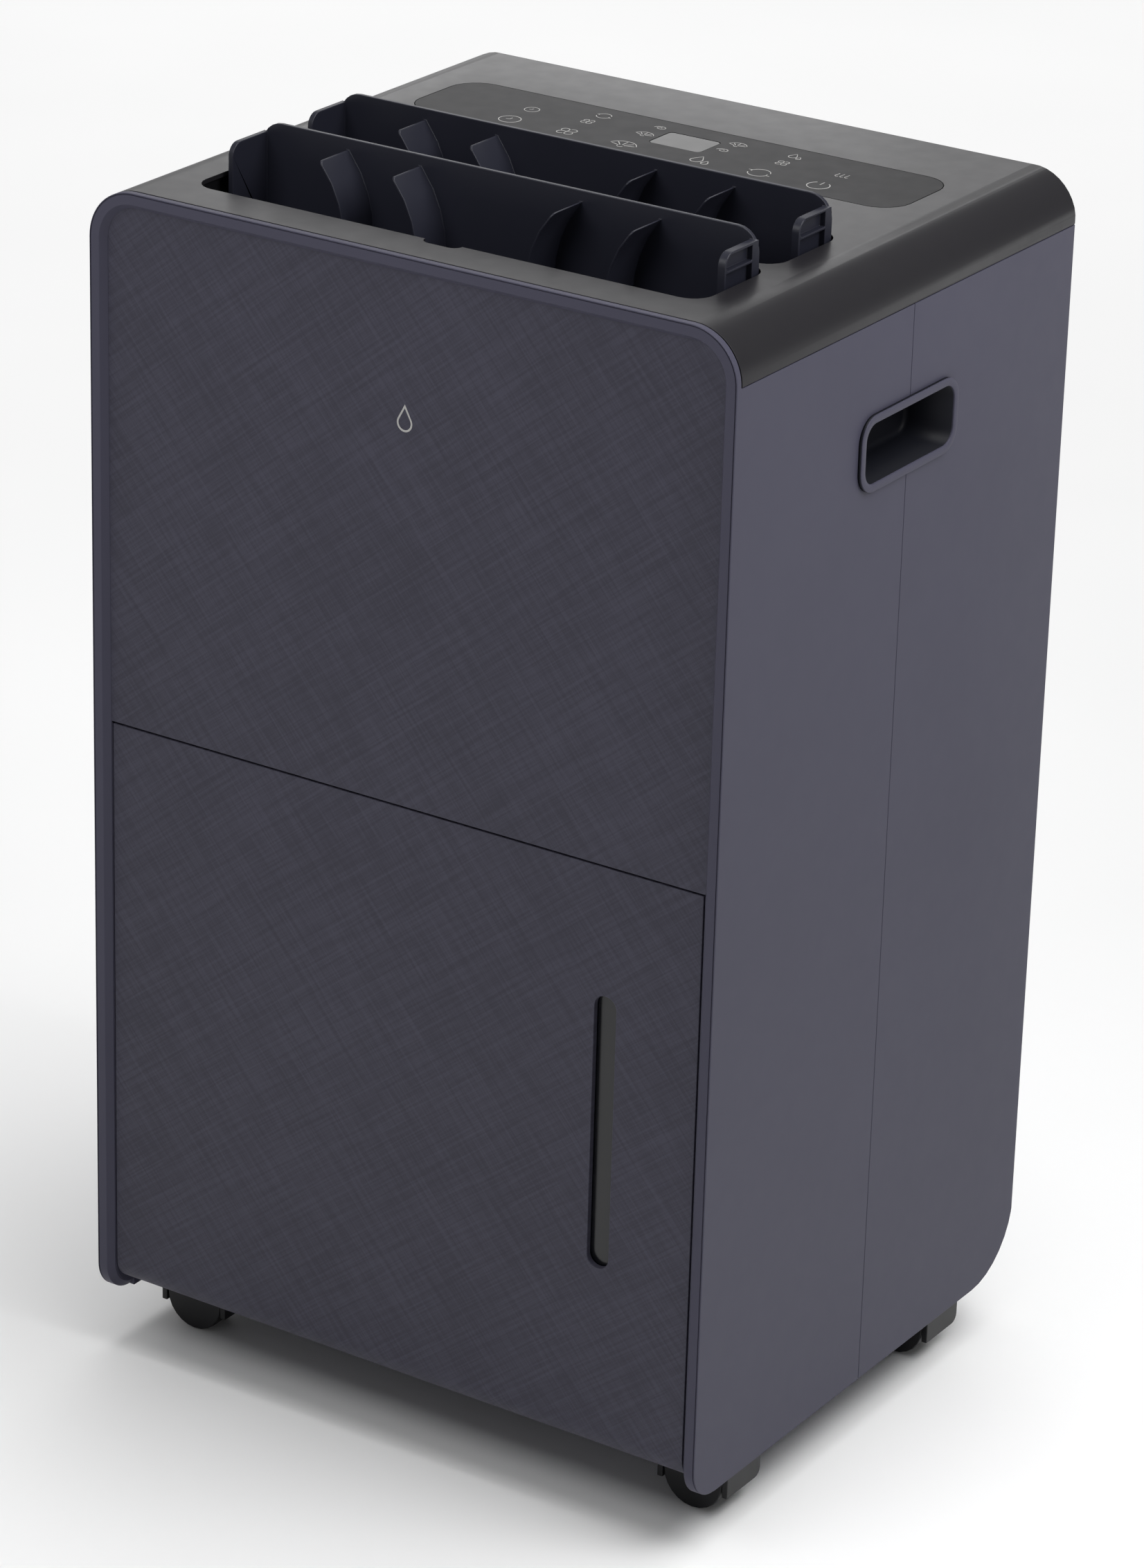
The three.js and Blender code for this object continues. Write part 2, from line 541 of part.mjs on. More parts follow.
// ---- refrigeration ----
function addCooling() {
  const { x, y, r, bottom, top } = COMPRESSOR;
  const dome = 24;
  const hull = [[0, bottom]];
  const steps = 4;
  for (let i = 0; i <= steps; i += 1) {
    const angle = (Math.PI / 2) * (i / steps);
    hull.push([r - dome + dome * Math.sin(angle), bottom + dome - dome * Math.cos(angle)]);
  }
  for (let i = 0; i <= steps; i += 1) {
    const angle = (Math.PI / 2) * (i / steps);
    hull.push([r - dome + dome * Math.cos(angle), top - dome + dome * Math.sin(angle)]);
  }
  hull.push([0, top]);
  const can = groupAt(x, y, 0);
  const terminal = box(-16, 16, -r - 8, -r + 10, 190, 222);
  place('compressor', joined(turned(hull, 28), terminal), LOOKS.steel, can);

  const foot = (angle) => {
    const [u, v] = [58 * Math.cos(angle), 58 * Math.sin(angle)];
    return joined(rod('z', u, v, 8, 46.8, 61.7, 8), rod('z', u, v, 12, 54, 58, 12));
  };
  const plate = rod('z', 0, 0, 62, 56, 59, 16);
  place('compressor_mount', joined(plate, ...[0.5, 2.6, 4.7].map(foot)), LOOKS.rubber, can);

  const accumulator = turned([
    [0, ACCUMULATOR.bottom], [ACCUMULATOR.r - 8, ACCUMULATOR.bottom],
    [ACCUMULATOR.r, ACCUMULATOR.bottom + 12],
    [ACCUMULATOR.r, ACCUMULATOR.top - 12], [ACCUMULATOR.r - 8, ACCUMULATOR.top], [0, ACCUMULATOR.top],
  ], 16);
  place('accumulator', accumulator, LOOKS.steel, groupAt(ACCUMULATOR.x, ACCUMULATOR.y, 0));

  const coil = (name, front, back, material) => {
    const core = box(-128, 128, front, back, 400, 626);
    const plates = [-129, 127].map((left) => box(left, left + 2, front - 2, back + 2, 397, 629));
    const mid = (front + back) / 2;
    const bends = repeated(5, (row) => {
      const z = 420 + row * 46;
      return tube([[126, mid, z], [137, mid, z + 1], [137, mid, z + 15], [126, mid, z + 16]], 4, 5, 6);
    });
    place(name, joined(core, ...plates, bends), material);
  };
  coil('evaporator', 100, 128, LOOKS.aluminium);
  coil('condenser', 60, 88, LOOKS.aluminium);

  const panOuter = box(-140, 140, 48, 135, DECK_Z + 3 + GAP, DECK_Z + 17);
  const panInner = box(-138, 138, 50, 133, DECK_Z + 5.5, DECK_Z + 18);
  const panHole = box(-6, 6, 54, 66, DECK_Z, DECK_Z + 8);
  place('drain_pan', without(panOuter, panInner, panHole), LOOKS.moulding);

  place('discharge_pipe', tube([
    [COMPRESSOR.x, COMPRESSOR.y, top + GAP], [COMPRESSOR.x, COMPRESSOR.y, 300],
    [20, 80, 325], [120, 74, 330],
    [156, 74, 350], [156, 74, 420], [156, 74, 560], [148, 74, 589], [129.5, 74, 589],
  ], 4, 26, 6), LOOKS.copper);
  place('suction_pipe', tube([
    [ACCUMULATOR.x, ACCUMULATOR.y, ACCUMULATOR.top + GAP], [ACCUMULATOR.x, ACCUMULATOR.y, 275],
    [80, 96, 300], [140, 112, 330], [156, 112, 360], [156, 112, 420], [156, 112, 560], [148, 114, 589],
    [129.5, 114, 589],
  ], 5, 26, 6), LOOKS.copper);
  place('capillary_tube', tube([
    [-129.5, 74, 410], [-152, 74, 414], [-156, 84, 440],
    [-150, 94, 460], [-156, 104, 440], [-152, 114, 414],
    [-129.5, 114, 410],
  ], 1.6, 20, 5), LOOKS.copper);
}

// ---- air path ----
function addBlower() {
  const { left, right, z, front, back } = SCROLL;
  const high = DUCT.floor - WALL - GAP;
  const volute = (grow, top) => outline([
    [left - grow, DECK_Z + 6 - grow, 60 + grow], [right + grow, DECK_Z + 6 - grow, 60 + grow],
    [right + grow, top], [left - grow, top],
  ]);
  const hull = prism('y', volute(WALL, high), front, back, 4);
  const hollow = prism('y', volute(0, high + 1), front + WALL, back - WALL, 4);
  const mouth = rod('y', 0, z, 74, back - 5, back + 1, 24);
  const motorHole = rod('y', 0, z, 36, front - 1, front + 5, 16);
  place('fan_scroll', without(hull, hollow, mouth, motorHole), LOOKS.moulding);

  const motor = joined(
    rod('y', 0, z, 34, -147.5, -113, 16),
    rod('y', 0, z, 42, front - 3, front - GAP, 16),
    rod('y', 0, z, 4, -114, -60, 8),
  );
  place('fan_motor', motor, LOOKS.zinc);

  const hub = groupAt(0, 0, z);
  const { r: tip, hubR, blades } = BLOWER;
  const backPlate = rod('y', 0, 0, tip, BLOWER.front, BLOWER.front + 3, 24);
  const ring = rod('y', 0, 0, tip, BLOWER.back - 3, BLOWER.back, 24).subtract(
    rod('y', 0, 0, tip - 14, BLOWER.back - 5, BLOWER.back + 1, 24));
  const boss = rod('y', 0, 0, hubR, BLOWER.front + 1, -70, 12);
  const blade = (i) => {
    const piece = box(tip - 14, tip - 1, BLOWER.front + 1, BLOWER.back - 1, -1, 1);
    return piece.rotate([0, (360 / blades) * i, 0]);
  };
  const wheel = joined(backPlate, ring, boss, repeated(blades, blade));
  const shaftBore = rod('y', 0, 0, 4.4, BLOWER.front - 1, -58, 12);
  place('blower_wheel', wheel.subtract(shaftBore), LOOKS.black, hub);
}

// ---- electrics ----
function addElectrics() {
  const lidX = 186;
  const shellBox = box(124, lidX, -128, -20, 396, 520);
  const hollow = box(126, lidX + 1, -126, -22, 398, 518);
  place('electrical_box', shellBox.subtract(hollow), LOOKS.black);
  place('main_board', box(126.3, 128.3, -122, -26, 402, 514), LOOKS.board);
  place('run_capacitor', rod('z', 158, -60, 17, 398.3, 464, 16), LOOKS.zinc);
  place('level_sensor', box(-165, -135, -38.8, -32.3, 296, 316), LOOKS.black);
}

// ---- back ----
function addBack() {
  const clear = GAP;
  const plate = prism('y', rectangle(
    -INTAKE.half + clear, INTAKE.half - clear, INTAKE.low + clear, INTAKE.high - clear, 8 - clear,
  ), BACK - 4, BACK - 0.1);
  const rows = 12;
  const pitch = (INTAKE.high - INTAKE.low - 24) / rows;
  const slots = [];
  for (let row = 0; row < rows; row += 1) {
    const z = INTAKE.low + 14 + row * pitch;
    slots.push(box(-INTAKE.half + 12, -3, BACK - 6, BACK + 1, z, z + pitch * 0.62));
    slots.push(box(3, INTAKE.half - 12, BACK - 6, BACK + 1, z, z + pitch * 0.62));
  }
  place('intake_grille', without(plate, ...slots), LOOKS.casing);
  const edge = INTAKE.half - 3;
  const frame = box(-edge, edge, BACK - 9, BACK - 4.3, INTAKE.low + 3, INTAKE.high - 3);
  place('air_filter', frame, LOOKS.mesh);

  const spout = groupAt(SPOUT.x, 0, SPOUT.z);
  const pipe = rod('y', 0, 0, 10, 128, BACK - 5.3, 12).subtract(rod('y', 0, 0, 8, 120, BACK, 12));
  const disc = rod('y', 0, 0, 18, BACK - 5.5, BACK - WALL - GAP, 16);
  const flange = disc.subtract(rod('y', 0, 0, 8, BACK - 8, BACK, 12));
  place('drain_spout', joined(pipe, flange), LOOKS.black, spout);
  const head = rod('y', 0, 0, 13, BACK - WALL, BACK - 0.1, 16);
  const plug = rod('y', 0, 0, 7, BACK - 14, BACK - WALL + 1, 12);
  const cap = joined(head, plug);
  place('drain_cap', cap, LOOKS.rubber, spout);

  const gland = groupAt(INLET.x, 0, INLET.z);
  const sleeve = rod('y', 0, 0, 9, BACK - 8, BACK - 0.1, 16);
  const collar = rod('y', 0, 0, 12, BACK - 8, BACK - WALL - GAP, 16);
  const bush = joined(sleeve, collar);
  place('power_gland', bush.subtract(rod('y', 0, 0, 4.2, BACK - 10, BACK + 1, 10)), LOOKS.rubber, gland);
}

addFront();
addCasings();
addPockets();
addControls();
addLouvres();
addOutletDuct();
addBase();
addCastors();
addBucket();
addCooling();
addBlower();
addElectrics();
addBack();

export default root;
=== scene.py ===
"""The looks of a portable dehumidifier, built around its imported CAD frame.

Metres, Z up, the front towards -Y. Small sizes are written in millimetres times MM.
"""

import json
import math

import bmesh
import bpy
from mathutils import Matrix, Vector

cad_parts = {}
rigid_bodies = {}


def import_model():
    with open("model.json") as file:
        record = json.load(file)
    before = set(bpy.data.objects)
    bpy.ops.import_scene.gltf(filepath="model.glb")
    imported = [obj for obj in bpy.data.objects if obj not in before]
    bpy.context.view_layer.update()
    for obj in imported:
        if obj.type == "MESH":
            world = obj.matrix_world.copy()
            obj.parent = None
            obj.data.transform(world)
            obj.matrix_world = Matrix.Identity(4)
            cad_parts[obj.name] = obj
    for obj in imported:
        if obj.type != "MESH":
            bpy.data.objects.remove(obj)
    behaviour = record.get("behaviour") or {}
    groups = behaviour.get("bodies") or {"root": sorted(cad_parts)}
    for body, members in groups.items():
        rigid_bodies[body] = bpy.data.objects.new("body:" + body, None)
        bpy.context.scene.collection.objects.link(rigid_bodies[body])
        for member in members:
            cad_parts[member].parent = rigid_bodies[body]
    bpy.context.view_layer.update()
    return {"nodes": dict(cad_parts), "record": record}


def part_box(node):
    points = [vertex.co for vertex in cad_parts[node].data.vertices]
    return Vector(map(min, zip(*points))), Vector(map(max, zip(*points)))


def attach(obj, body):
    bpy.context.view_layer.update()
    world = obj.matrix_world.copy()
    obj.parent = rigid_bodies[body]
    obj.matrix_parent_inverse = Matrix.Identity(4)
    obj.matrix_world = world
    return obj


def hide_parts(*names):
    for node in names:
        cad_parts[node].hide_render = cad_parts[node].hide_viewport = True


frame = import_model()

MM = 0.001
NODES = frame["nodes"]
SLOT_OF = {row["node"]: row["material_slot"] for row in frame["record"]["subparts"]}
BODY_OF = {name: node.parent.name.split(":")[1] for name, node in NODES.items()}


# ---- camera ----
CAMERA_PLACE = (1.46958, -2.27010, 1.49183)
CAMERA_HEADING, CAMERA_PITCH, CAMERA_ROLL = 32.92, 66.753, 1.628
LENS = 126.985


def add_camera():
    data = bpy.data.cameras.new("camera")
    data.lens = LENS
    data.sensor_width = 36
    data.clip_end = 50
    camera = bpy.data.objects.new("camera", data)
    turn = (Matrix.Rotation(math.radians(CAMERA_HEADING), 4, "Z")
            @ Matrix.Rotation(math.radians(CAMERA_PITCH), 4, "X")
            @ Matrix.Rotation(math.radians(CAMERA_ROLL), 4, "Z"))
    camera.matrix_world = Matrix.Translation(CAMERA_PLACE) @ turn
    bpy.context.scene.collection.objects.link(camera)
    bpy.context.scene.camera = camera


add_camera()


# ---- colours and node helpers ----
def linear(hexa):
    """The linear RGBA of an sRGB colour written as six hex digits."""
    parts = [int(hexa[i:i + 2], 16) / 255 for i in (0, 2, 4)]
    return tuple(c / 12.92 if c <= 0.04045 else ((c + 0.055) / 1.055) ** 2.4 for c in parts) + (1.0,)


def scaled(color, factor):
    return tuple(min(1.0, c * factor) for c in color[:3]) + (1.0,)


class Look:
    """A material being built: node() adds a node, and wire() joins two sockets."""

    def __init__(self, name):
        self.material = bpy.data.materials.new(name)
        self.material.use_nodes = True
        self.tree = self.material.node_tree
        self.shader = self.tree.nodes["Principled BSDF"]
        self.place = self.node("ShaderNodeTexCoord").outputs["Object"]

    def node(self, kind, **settings):
        node = self.tree.nodes.new(kind)
        for key, value in settings.items():
            if key in node.inputs:
                node.inputs[key].default_value = value
            else:
                setattr(node, key, value)
        return node

    def wire(self, start, end):
        self.tree.links.new(start, end)

    def noise(self, scale, detail=2.0, place=None, roughness=0.5):
        node = self.node("ShaderNodeTexNoise", Scale=scale, Detail=detail, Roughness=roughness)
        self.wire(place or self.place, node.inputs["Vector"])
        return node.outputs["Fac"]

    def mapped(self, rotation=(0, 0, 0), scale=(1, 1, 1)):
        """Object coordinates, turned and then stretched."""
        turned = self.node("ShaderNodeMapping", Rotation=rotation)
        stretched = self.node("ShaderNodeMapping", Scale=scale)
        self.wire(self.place, turned.inputs["Vector"])
        self.wire(turned.outputs["Vector"], stretched.inputs["Vector"])
        return stretched.outputs["Vector"]

    def span(self, value, low, high, start=0.0, end=1.0):
        node = self.node("ShaderNodeMapRange")
        for key, number in (("From Min", start), ("From Max", end), ("To Min", low), ("To Max", high)):
            node.inputs[key].default_value = number
        self.wire(value, node.inputs["Value"])
        return node.outputs["Result"]

    def math(self, operation, a, b):
        node = self.node("ShaderNodeMath", operation=operation)
        for socket, value in zip(node.inputs, (a, b)):
            if isinstance(value, (int, float)):
                socket.default_value = value
            else:
                self.wire(value, socket)
        return node.outputs["Value"]

    def tone(self, value, dark, light):
        """Base colour that runs from dark to light with a value from 0 to 1."""
        node = self.node("ShaderNodeMix", data_type="RGBA")
        self.wire(value, node.inputs["Factor"])
        node.inputs["A"].default_value = dark
        node.inputs["B"].default_value = light
        self.wire(node.outputs["Result"], self.shader.inputs["Base Color"])

    def rough(self, value):
        self.wire(value, self.shader.inputs["Roughness"])

    def relief(self, height, distance, strength=1.0):
        node = self.node("ShaderNodeBump", Distance=distance, Strength=strength)
        self.wire(height, node.inputs["Height"])
        self.wire(node.outputs["Normal"], self.shader.inputs["Normal"])

    def set(self, **values):
        for key, value in values.items():
            self.shader.inputs[key.replace("_", " ")].default_value = value
        return self


def plastic(name, hexa, rough=0.45, grain=1500, depth=0.012, spread=0.02, specular=0.35):
    """Moulded plastic: a fine spark-eroded grain, with tone and gloss that drift slowly."""
    look = Look(name)
    base = linear(hexa)
    drift = look.span(look.noise(14, 3), 0, 1, 0.3, 0.7)
    look.tone(drift, scaled(base, 1 - spread), scaled(base, 1 + spread))
    look.rough(look.span(look.noise(90, 2), rough - 0.015, rough + 0.015, 0.3, 0.7))
    look.relief(look.noise(grain, 3), depth * MM)
    look.set(Specular_IOR_Level=specular)
    return look.material


def linen(name, hexa, rough=0.5):
    """Satin plastic with a cross-hatched relief: fine broken lines that run along both diagonals."""
    look = Look(name)
    base = linear(hexa)
    lines = []
    for turn in (math.radians(40), math.radians(-52)):
        for across, along in ((1150, 38), (520, 16)):
            place = look.mapped((0, turn, 0), (across, 40, along))
            lines.append(look.span(look.noise(1, 2, place), 0, 1, 0.36, 0.66))
    first = look.math("ADD", lines[0], look.math("MULTIPLY", lines[1], 0.6))
    second = look.math("ADD", lines[2], look.math("MULTIPLY", lines[3], 0.6))
    weave = look.math("MULTIPLY", look.math("ADD", first, second), 0.3125)
    patch = look.span(look.noise(22, 2), -0.12, 0.12, 0.3, 0.7)
    cloudy = look.math("ADD", look.span(weave, 0, 1, 0.2, 0.8), patch)
    look.tone(cloudy, scaled(base, 0.84), scaled(base, 1.18))
    look.rough(look.span(weave, rough + 0.05, rough - 0.05))
    look.relief(weave, 0.06 * MM, 0.6)
    look.set(Specular_IOR_Level=0.22)
    return look.material


def metal(name, hexa, rough, stretch=(40, 40, 900), tint=0.1):
    """Drawn or cast metal: fine lines along one axis."""
    look = Look(name)
    base = linear(hexa)
    lines = look.noise(1, 3, look.mapped(scale=stretch))
    look.tone(lines, scaled(base, 1 - tint), scaled(base, 1 + tint))
    look.rough(look.span(lines, rough - 0.08, rough + 0.1, 0.3, 0.7))
    look.relief(lines, 0.02 * MM, 0.5)
    look.set(Metallic=1.0)
    return look.material


def painted_steel(name, hexa):
    look = Look(name)
    base = linear(hexa)
    look.tone(look.noise(24, 4), scaled(base, 0.85), scaled(base, 1.15))
    look.rough(look.span(look.noise(60, 2), 0.3, 0.5, 0.3, 0.7))
    look.relief(look.noise(420, 2), 0.05 * MM, 0.6)
    look.set(Metallic=0.2)
    return look.material


def rubber(name, hexa):
    look = Look(name)
    base = linear(hexa)
    look.tone(look.noise(30, 3), scaled(base, 0.85), scaled(base, 1.2))
    look.rough(look.span(look.noise(200, 2), 0.62, 0.78, 0.3, 0.7))
    look.relief(look.noise(1400, 2), 0.03 * MM)
    return look.material


def bucket_plastic(name, hexa, through, rough=0.35):
    """Translucent tank plastic: a share of the light goes through, and flow lines run up its walls."""
    look = Look(name)
    base = linear(hexa)
    flow = look.noise(1, 3, look.mapped(scale=(26, 26, 5)))
    look.tone(flow, scaled(base, 0.9), scaled(base, 1.1))
    look.rough(look.span(flow, rough - 0.05, rough + 0.06, 0.3, 0.7))
    look.relief(look.noise(700, 2), 0.01 * MM)
    look.set(Transmission_Weight=through, IOR=1.49)
    return look.material


def mesh_screen(name, hexa):
    """Woven filter gauze: threads cross at 1.2 mm, and the gaps between them are painted near black as
    painted shade.
    """
    look = Look(name)
    base = linear(hexa)
    waves = []
    for axis in ("X", "Z"):
        wave = look.node("ShaderNodeTexWave", wave_type="BANDS", bands_direction=axis, Scale=262)
        look.wire(look.place, wave.inputs["Vector"])
        waves.append(wave.outputs["Fac"])
    threads = look.math("MAXIMUM", *waves)
    # Between the threads the colour falls to an eighth of the base: painted shade in the gaps.
    look.tone(look.span(threads, 0, 1, 0.5, 0.95), scaled(base, 0.12), base)
    look.rough(look.span(look.noise(300, 2), 0.5, 0.65, 0.3, 0.7))
    look.relief(threads, 0.3 * MM, 0.7)
    return look.material


def circuit_board(name, hexa):
    look = Look(name)
    base = linear(hexa)
    tracks = look.node("ShaderNodeTexBrick", Scale=140, **{"Mortar Size": 0.03})
    look.wire(look.place, tracks.inputs["Vector"])
    tracks.inputs["Color1"].default_value = base
    tracks.inputs["Color2"].default_value = scaled(base, 0.8)
    tracks.inputs["Mortar"].default_value = scaled(base, 1.7)
    look.wire(tracks.outputs["Color"], look.shader.inputs["Base Color"])
    look.rough(look.span(look.noise(80, 2), 0.3, 0.45, 0.3, 0.7))
    look.relief(tracks.outputs["Fac"], 0.05 * MM, 0.5)
    return look.material


def finned(name, hexa):
    """Finned coil block: thin upright plates 1.8 mm apart across X, with painted shade darkening the
    bands between them.
    """
    look = Look(name)
    base = linear(hexa)
    wave = look.node("ShaderNodeTexWave", wave_type="BANDS", bands_direction="X", Scale=174)
    look.wire(look.place, wave.inputs["Vector"])
    # The wave darkens the bands between the plates to a quarter of the metal's colour: painted shade
    # between the fins.
    look.tone(look.span(wave.outputs["Fac"], 0, 1, 0.35, 0.8), scaled(base, 0.25), base)
    look.rough(look.span(look.noise(50, 3), 0.3, 0.45, 0.3, 0.7))
    look.relief(wave.outputs["Fac"], 0.5 * MM, 0.8)
    look.set(Metallic=0.9)
    return look.material


LOOKS = {
    "casing": plastic("casing_plastic", "434250", 0.46, specular=0.15),
    "cover": plastic("cover_plastic", "1f1e21", 0.34, specular=0.24),
    "textured": linen("linen_plastic", "3a3945"),
    "louvre": plastic("louvre_plastic", "22232d", 0.4, specular=0.32),
    "black": plastic("black_plastic", "101013", 0.42),
    "wheel": plastic("wheel_plastic", "131316", 0.5, 900, 0.02),
    "film": plastic("film_plastic", "111013", 0.42, 2400, 0.004, 0.02, 0.09),
    "display": plastic("display_plastic", "343434", 0.32, 2400, 0.003, 0.02),
    "bucket": bucket_plastic("bucket_plastic", "9aa2a8", 0.25),
    "clear": bucket_plastic("window_plastic", "0c0d12", 0.3, 0.2),
    "moulding": plastic("inner_plastic", "34353a", 0.5, 700, 0.03),
    "board": circuit_board("board_laminate", "1d4a33"),
    "steel": painted_steel("steel_paint", "22242a"),
    "zinc": metal("zinc_metal", "a9abad", 0.38),
    "aluminium": finned("fin_metal", "c4c6c8"),
    "copper": metal("copper_metal", "b5673f", 0.28, (300, 300, 300)),
    "rubber": rubber("black_rubber", "141416"),
    "mesh": mesh_screen("filter_mesh", "6f7174"),
    "mark": plastic("mark_ink", "a9a8a6", 0.45, 2400, 0.002, 0.02),
    # The pocket material is near black with little gloss: painted shade for the unlit walls and floor of
    # the hand pockets.
    "pocket": plastic("pocket_plastic", "14151b", 0.5, specular=0.12),
}


# ---- mesh helpers ----
def finish_mesh(bm, name):
    """Turn a bmesh into a mesh with smooth faces and outward normals."""
    bmesh.ops.recalc_face_normals(bm, faces=bm.faces)
    for face in bm.faces:
        face.smooth = True
    mesh = bpy.data.meshes.new(name)
    bm.to_mesh(mesh)
    bm.free()
    for layer in ("custom_normal", "sharp_face", "sharp_edge"):
        if layer in mesh.attributes:
            mesh.attributes.remove(mesh.attributes[layer])
    return mesh


def softened(obj, width, angle):
    """Round the edges of a piece by width millimetres, and keep its flats flat."""
    bevel = obj.modifiers.new("edges", "BEVEL")
    bevel.width = width * MM
    bevel.segments = 2
    bevel.limit_method = "ANGLE"
    bevel.angle_limit = math.radians(angle)
    bevel.use_clamp_overlap = False
    bevel.harden_normals = True
    return obj


def add_piece(name, bm, body, material, slot, replaced=(), edge=0, angle=32):
    """Put a mesh in the scene as a piece that rides on a body."""
    obj = bpy.data.objects.new(name, finish_mesh(bm, name))
    bpy.context.scene.collection.objects.link(obj)
    obj.data.materials.append(material)
    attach(obj, body)
    if replaced:
        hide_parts(*replaced)
    if edge:
        softened(obj, edge, angle)
    return obj


def node_mesh(node):
    """A CAD node's solid as a bmesh, with its triangles joined back into flat faces."""
    bm = bmesh.new()
    bm.from_mesh(NODES[node].data)
    bmesh.ops.remove_doubles(bm, verts=bm.verts, dist=0.003 * MM)
    bmesh.ops.dissolve_limit(bm, angle_limit=math.radians(0.7), verts=bm.verts, edges=bm.edges)
    return bm


def refined(node, edge, angle=32, reshape=None):
    """Stand for a CAD node with the same solid, its edges rounded and its curves smooth."""
    bm = node_mesh(node)
    if reshape:
        for vert in bm.verts:
            vert.co = reshape(vert.co.copy())
    slot = SLOT_OF[node]
    return add_piece(node + "_fine", bm, BODY_OF[node], LOOKS[slot], slot, [node], edge, angle)


def rounded(corners, steps=8):
    """Points of a closed outline in mm, from corners (u, v) or (u, v, radius)."""
    points = []
    count = len(corners)
    for i, corner in enumerate(corners):
        here = Vector(corner[:2])
        radius = corner[2] if len(corner) > 2 else 0
        if not radius:
            points.append(here)
            continue
        before = (Vector(corners[i - 1][:2]) - here).normalized()
        after = (Vector(corners[(i + 1) % count][:2]) - here).normalized()
        half = before.angle(after) / 2
        reach = radius / math.tan(half)
        centre = here + (before + after).normalized() * (radius / math.sin(half))
        start = here + before * reach - centre
        end = here + after * reach - centre
        turn = math.atan2(start.cross(end), start.dot(end))
        for k in range(steps + 1):
            a = turn * k / steps
            points.append(centre + Vector((start.x * math.cos(a) - start.y * math.sin(a),
                                           start.x * math.sin(a) + start.y * math.cos(a))))
    return points


def slab(u0, u1, v0, v1, radius=0, steps=8):
    return rounded([(u0, v0, radius), (u1, v0, radius), (u1, v1, radius), (u0, v1, radius)], steps)


PLANES = {
    "x": lambda u, v, w: Vector((w, u, v)) * MM,
    "y": lambda u, v, w: Vector((u, w, v)) * MM,
    "z": lambda u, v, w: Vector((u, v, w)) * MM,
}


def loft(bm, rings, closed_ends=True):
    """Join rings of points of equal length into a skin. Returns its rings of vertices."""
    skins = [[bm.verts.new(p) for p in ring] for ring in rings]
    count = len(skins[0])
    for low, high in zip(skins, skins[1:]):
        for i in range(count):
            j = (i + 1) % count
            bm.faces.new((low[i], low[j], high[j], high[i]))
    if closed_ends:
        bm.faces.new(list(reversed(skins[0])))
        bm.faces.new(skins[-1])
    return skins


def prism(bm, axis, outline, low, high):
    """Add the solid of an outline in mm between two heights on an axis."""
    place = PLANES[axis]
    loft(bm, [[place(u, v, w) for u, v in outline] for w in (low, high)])
    return bm


def block(bm, x0, x1, y0, y1, z0, z1):
    return prism(bm, "z", slab(x0, x1, y0, y1), z0, z1)


def round_bar(bm, axis, u, v, radius, low, high, sides, inset):
    """A bar along an axis; inset slopes its two ends by that many mm."""
    place = PLANES[axis]

    def ring(r, w):
        turns = [2 * math.pi * k / sides for k in range(sides)]
        return [place(u + r * math.cos(a), v + r * math.sin(a), w) for a in turns]

    narrow = radius - inset
    ends = [(narrow, low), (radius, low + inset), (radius, high - inset), (narrow, high)]
    loft(bm, [ring(r, w) for r, w in ends])


def carved(obj, *cutters):
    """Cut solids out of a piece, and keep the result as its mesh."""
    for bm in cutters:
        tool = bpy.data.objects.new("tool", finish_mesh(bm, "tool"))
        bpy.context.scene.collection.objects.link(tool)
        cut = obj.modifiers.new("cut", "BOOLEAN")
        cut.operation = "DIFFERENCE"
        cut.solver = "EXACT"
        cut.object = tool
        bpy.context.view_layer.update()
        whole = obj.evaluated_get(bpy.context.evaluated_depsgraph_get())
        shape = bpy.data.meshes.new_from_object(whole)
        obj.modifiers.remove(cut)
        bpy.data.objects.remove(tool)
        obj.data = shape
    return obj


def box_mm(node):
    low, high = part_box(node)
    return low / MM, high / MM


# ---- driving places, from the frame ----
BODY_LOW, BODY_HIGH = box_mm("front_casing")
COVER_HIGH = box_mm("top_cover")[1]
FRONT = box_mm("front_bezel")[0].y
HALF = COVER_HIGH.x
TOP = COVER_HIGH.z
BOTTOM = BODY_LOW.z
COVER_SEAM = BODY_HIGH.z
CASING_FRONT = BODY_LOW.y
BUCKET_SEAM = (box_mm("front_panel")[0].z + box_mm("bucket_front")[1].z) / 2
PANEL_Y = box_mm("front_panel")[0].y
TOP_R = 27.2
FOOT_R = 20.0


# ---- front rim: a thin outer edge, a groove, a flat band and a slope down to the panel ----
RIM_EDGE_R = 0.45
RIM_WIDTH = 8.9
LEG_WIDTH = 9.0
FOOT_STEPS = 12
CORNER_STEPS = 16


def rim_section(inner, back):
    """Points (inward, depth) across the rim."""
    edge = [(RIM_EDGE_R - RIM_EDGE_R * math.cos(a), RIM_EDGE_R - RIM_EDGE_R * math.sin(a))
            for a in (math.radians(22.5 * k) for k in range(5))]
    groove = [(0.5, 0.05), (0.55, 0.6), (1.0, 0.6), (1.1, 0.15), (1.4, 0.0)]
    depth = PANEL_Y - FRONT
    slope = [(inner - 3.0, 0.0), (inner - 2.75, 0.12), (inner - 2.6, 0.4),
             (inner - 0.15, depth - 0.3), (inner, depth - 0.05)]
    return [(0.0, back)] + edge + groove + slope + [(inner, back + 0.2)]


